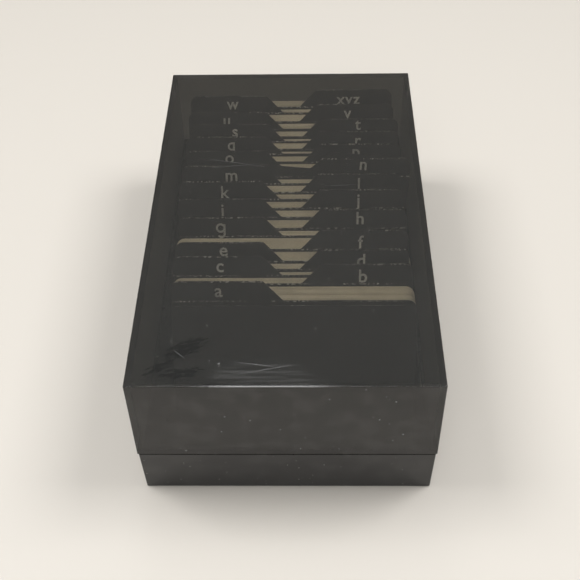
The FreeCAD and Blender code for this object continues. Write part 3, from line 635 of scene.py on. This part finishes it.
wear_and_highlight = math_node(satin.tree, "MULTIPLY", wear_and_highlight, math_node(satin.tree, "MULTIPLY", nicks, stretches))
# painted highlight with wear: light strips on the top edges and on faces that look up
satin.tint(wear_and_highlight, (0.55, 0.53, 0.49))
satin.tint(satin.mask(edge_group, Width=0.0004, Amount=0.6), (0.26, 0.25, 0.23))
satin.roughen(satin.mask(scratch_group, Lines_per_metre=900.0, Amount=0.7), 0.2)
satin.emboss(satin.noise(500.0, 2.0), 0.00001, 0.1)
for name in nodes:
    if name.startswith("guide_") or name == "front_plate":
        dress(name, satin)
print("guide finish:", satin.material.name)

# %% Rack finish
dull = Finish("rack_plastic", (0.022, 0.022, 0.022), 0.55)
dull.tint(dull.mask(dust_group, Grains_per_metre=900.0, Amount=0.15), (0.20, 0.19, 0.17))
dull.emboss(dull.noise(1800.0, 3.0), 0.00001, 0.5)
for name in nodes:
    if name.startswith("rack_"):
        dress(name, dull)
print("rack finish:", dull.material.name)

# %% [markdown]
# ### Steel rest and pins
#
# The back rest is bent sheet steel with black paint, which orange-peels slightly and chips at its
# edges. The hinge pins are drawn wire, bright along their length.

# %% Metal finishes
paint = Finish("rest_paint", (0.016, 0.016, 0.017), 0.38)
paint.tint(paint.mask(edge_group, Width=0.0006, Amount=0.8), (0.30, 0.29, 0.28))
paint.tint(paint.mask(dust_group, Grains_per_metre=650.0, Amount=0.15), (0.22, 0.21, 0.19))
paint.emboss(paint.noise(900.0, 2.0), 0.00003, 0.6)
steel = Finish("pin_steel", (0.60, 0.60, 0.61), 0.28, Metallic=1.0)
steel.roughen(steel.noise(1500.0, 2.0, stretch=(0.05, 1, 1)), 0.15)
for name, finish in (("back_rest", paint), ("hinge_pin_left", steel), ("hinge_pin_right", steel)):
    dress(name, finish)
print("metal finishes:", paint.material.name, steel.material.name)

# %% [markdown]
# ### Card
#
# Index cards are uncoated cream stock that yellows with age. What shows here is mostly edges: each
# card is a fine line, a little lighter or darker than the next. A number per card, stored on the
# mesh, gives every card its own tone, and noise adds fibre and handling marks.

# %% Card finish
card = Finish("card_stock", (0.86, 0.78, 0.62), 0.85)
tone = add_node(card.tree, "ShaderNodeAttribute", attribute_name="tone")
card.tint(tone.outputs["Fac"], (0.66, 0.57, 0.42))
card.tint(ramp_node(card.tree, card.noise(70.0, 5.0), 0.45, 0.75), (0.76, 0.67, 0.52))
card.tint(card.mask(smudge_group, Patches_per_metre=60.0, Amount=0.3), (0.52, 0.44, 0.33))
card.emboss(card.noise(3200.0, 4.0), 0.00002, 0.5)
print("card finish:", card.material.name)

# %% [markdown]
# ## The cards
#
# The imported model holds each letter's cards as one block. Seen from above, a real pack is a row of
# separate edges at slightly different heights, so each block is replaced by its single cards. How
# many there are, and where they stand, is read from the block itself: its feet are the corners at
# its lowest height, and its thickness along the floor divided by one card's gives the count.

# %% One card's outline
def card_outline(width, height, corner, steps=5):
    """Points of a card from the lower left corner round, with its upper corners rounded."""
    half = width / 2
    points = [(-half, 0.0), (half, 0.0)]
    for centre, first in ((half - corner, 0.0), (-half + corner, 90.0)):
        for step in range(steps + 1):
            angle = math.radians(first + 90.0 * step / steps)
            points.append((centre + corner * math.cos(angle), height - corner + corner * math.sin(angle)))
    return points


print("outline points:", len(card_outline(CARD_WIDTH, CARD_HEIGHT, CARD_ROUND)))


# %% Cards of one letter
HAIR = 0.01 * MM  # corners of a solid that differ by less than this count as equally low or far forward
SIDE_ROOM = 0.7 * MM  # a card is this much narrower than its block, so that it can stand aside
CARD_SHARE = 0.86  # a card's thickness as a part of its step
UNEVEN, ASIDE = 0.35, 0.3  # how much cards differ in height and stand aside, in millimetres
LOW_CHANCE, LOW_DROPS = 0.08, (0.5, 1.4)  # a few cards stand clearly lower, by this many millimetres


def make_cards(letter, body):
    """Replace a letter's block by its cards, each one a thin leaning sheet."""
    block = nodes["cards_" + letter]
    points = [vertex.co for vertex in block.data.vertices]
    foot_z = min(p.z for p in points)
    feet = [p for p in points if p.z < foot_z + HAIR]
    front = min(p.y for p in feet)
    back = max(p.y for p in feet)
    middle = (min(p.x for p in feet) + max(p.x for p in feet)) / 2
    count = round((back - front) / CARD_STEP)
    chooser = random.Random("cards " + letter)
    mesh = bmesh.new()
    tones = mesh.faces.layers.float.new("tone")
    up = Vector((0, math.sin(LEAN), math.cos(LEAN)))
    thick = Vector((0, CARD_STEP * CARD_SHARE, 0))
    for number in range(count):
        drop = abs(chooser.gauss(0, UNEVEN)) * MM
        if chooser.random() < LOW_CHANCE:
            drop += chooser.uniform(*LOW_DROPS) * MM
        aside = chooser.uniform(-ASIDE, ASIDE) * MM
        shade = min(1.0, abs(chooser.gauss(0.25, 0.25)))
        start = Vector((middle + aside, front + number * CARD_STEP, foot_z))
        outline = card_outline(CARD_WIDTH - SIDE_ROOM, CARD_HEIGHT - drop, CARD_ROUND)
        near_side = [mesh.verts.new(start + Vector((x, 0, 0)) + up * z) for x, z in outline]
        far_side = [mesh.verts.new(vertex.co + thick) for vertex in near_side]
        faces = [mesh.faces.new(near_side), mesh.faces.new(list(reversed(far_side)))]
        for k in range(len(outline)):
            after = (k + 1) % len(outline)
            faces.append(mesh.faces.new((near_side[after], near_side[k], far_side[k], far_side[after])))
        for face in faces:
            face[tones] = shade
    data = bpy.data.meshes.new("single_cards_" + letter)
    mesh.to_mesh(data)
    mesh.free()
    data.materials.append(card.material)
    piece = bpy.data.objects.new("single_cards_" + letter, data)
    bpy.context.scene.collection.objects.link(piece)
    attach(piece, body)
    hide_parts("cards_" + letter)
    return count


bodies = frame["record"]["behaviour"]["bodies"]
body_of_node = {node: body for body, group in bodies.items() for node in group}
counts = {letter: make_cards(letter, body_of_node["cards_" + letter]) for letter in letters}
print(sum(counts.values()), "cards:", counts)

# %% [markdown]
# ## The letters
#
# Each tab carries its letter in light grey print, in lower case. Print is a very thin layer of ink,
# so a letter is text turned into a mesh with almost no thickness and laid on the face of its tab.
# The foot of a guide tells where it stands: its front edge is the part of it that is furthest
# forward, and the tabs go left and right by turns. One guide has slipped round in its own plane.

# %% Ink
ink = Finish("letter_ink", (0.62, 0.60, 0.57), 0.5)
ink.tint(ramp_node(ink.tree, ink.noise(900.0, 3.0), 0.56, 0.70), (0.40, 0.385, 0.36))
SLIPPED = {"n": 5}  # degrees
LETTER_SIZE = 9.9 * MM
LETTER_RISE = 1.7  # the foot of a letter over the shoulder of its guide, in millimetres
INK_LIFT = 0.03 * MM
LEFT_TAB, RIGHT_TAB = -39.1 * MM, 37.5 * MM
PRINTED_OUT = {  # how far each letter was printed right of its place, and above it, in millimetres
    "a": (0.2, 0.5), "b": (0, -1.1), "c": (0.9, 0.3), "d": (0.6, -0.3), "e": (1.7, 1.3), "f": (0.2, -1.3),
    "g": (-0.5, 0), "h": (0.2, 0.4), "i": (0.6, -0.9), "j": (0.5, -0.7), "k": (1.8, -0.9), "l": (1.7, -0.7),
    "m": (4.6, 0), "n": (-1.5, 0), "o": (1.8, 1.5), "p": (-0.5, 1), "q": (2.7, 0.6), "r": (1.4, 0),
    "s": (3.3, 1.1), "t": (1.6, 2.2), "u": (-0.9, 0.5), "v": (-2.3, 0), "w": (1.9, 0.6), "xyz": (-1.4, -0.4),
}
print("ink:", ink.material.name)


# %% A letter on its tab
def guide_frame(letter):
    """The matrix from a guide's own plane to the box: X across, Z up the sheet, -Y its front."""
    points = [vertex.co for vertex in nodes["guide_" + letter].data.vertices]
    front = min(p.y for p in points)
    corner = max((p for p in points if p.y < front + HAIR), key=lambda p: p.x)
    turned = Matrix.Rotation(-LEAN, 4, "X") @ Matrix.Rotation(math.radians(SLIPPED.get(letter, 0)), 4, "Y")
    return Matrix.Translation(corner) @ turned @ Matrix.Translation((-CARD_WIDTH / 2, 0, 0))


def typed_letter(letter):
    """A flat mesh of a letter in Blender's own plain typeface, a little bolder."""
    text = bpy.data.curves.new("text_" + letter, "FONT")
    text.body = letter
    text.size = LETTER_SIZE
    text.align_x = "CENTER"
    text.space_character = 1.1
    text.offset = 0.16 * MM
    text.resolution_u = 4
    source = bpy.data.objects.new("text_" + letter, text)
    bpy.context.scene.collection.objects.link(source)
    bpy.context.view_layer.update()
    data = bpy.data.meshes.new_from_object(source.evaluated_get(bpy.context.evaluated_depsgraph_get()))
    bpy.data.objects.remove(source)
    return data


def drawn_g():
    """A flat mesh of a g with one bowl and an open hook, which that typeface doesn't have."""
    middle, low, radius, tail, half_stroke = 2.75, -0.6, 2.1, 1.75, 0.58
    bowl = [(math.radians(15 * k), radius, 0.0, middle) for k in range(25)]
    hook = [(math.radians(-15 * k), tail, radius - tail, low) for k in range(11)]
    strokes = [[(x + r * math.cos(a), z + r * math.sin(a), math.cos(a), math.sin(a)) for a, r, x, z in arc]
               for arc in (bowl, hook)]
    strokes[1].insert(0, (radius, middle + radius, 1.0, 0.0))
    mesh = bmesh.new()
    for stroke in strokes:
        sides = []
        for side in (-1, 1):
            edge = [(x + side * half_stroke * nx, z + side * half_stroke * nz) for x, z, nx, nz in stroke]
            sides.append([mesh.verts.new((x * MM, z * MM, 0)) for x, z in edge])
        for k in range(len(stroke) - 1):
            mesh.faces.new((sides[0][k], sides[1][k], sides[1][k + 1], sides[0][k + 1]))
    bmesh.ops.recalc_face_normals(mesh, faces=mesh.faces)
    data = bpy.data.meshes.new("letter_g")
    mesh.to_mesh(data)
    mesh.free()
    return data


def make_letter(letter, on_left):
    """Thin printed text on the front of a guide's tab."""
    data = drawn_g() if letter == "g" else typed_letter(letter)
    aside, above = PRINTED_OUT[letter]
    across = (LEFT_TAB if on_left else RIGHT_TAB) + aside * MM
    up = GUIDE_BODY + (LETTER_RISE + above) * MM
    stand = Matrix.Translation((across, -INK_LIFT, up)) @ Matrix.Rotation(math.pi / 2, 4, "X")
    data.transform(guide_frame(letter) @ stand)
    data.name = "letter_" + letter
    data.materials.clear()
    data.materials.append(ink.material)
    piece = bpy.data.objects.new("letter_" + letter, data)
    bpy.context.scene.collection.objects.link(piece)
    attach(piece, body_of_node["guide_" + letter])


for number, letter in enumerate(letters):
    make_letter(letter, number % 2 == 0)
print(len(letters), "letters")
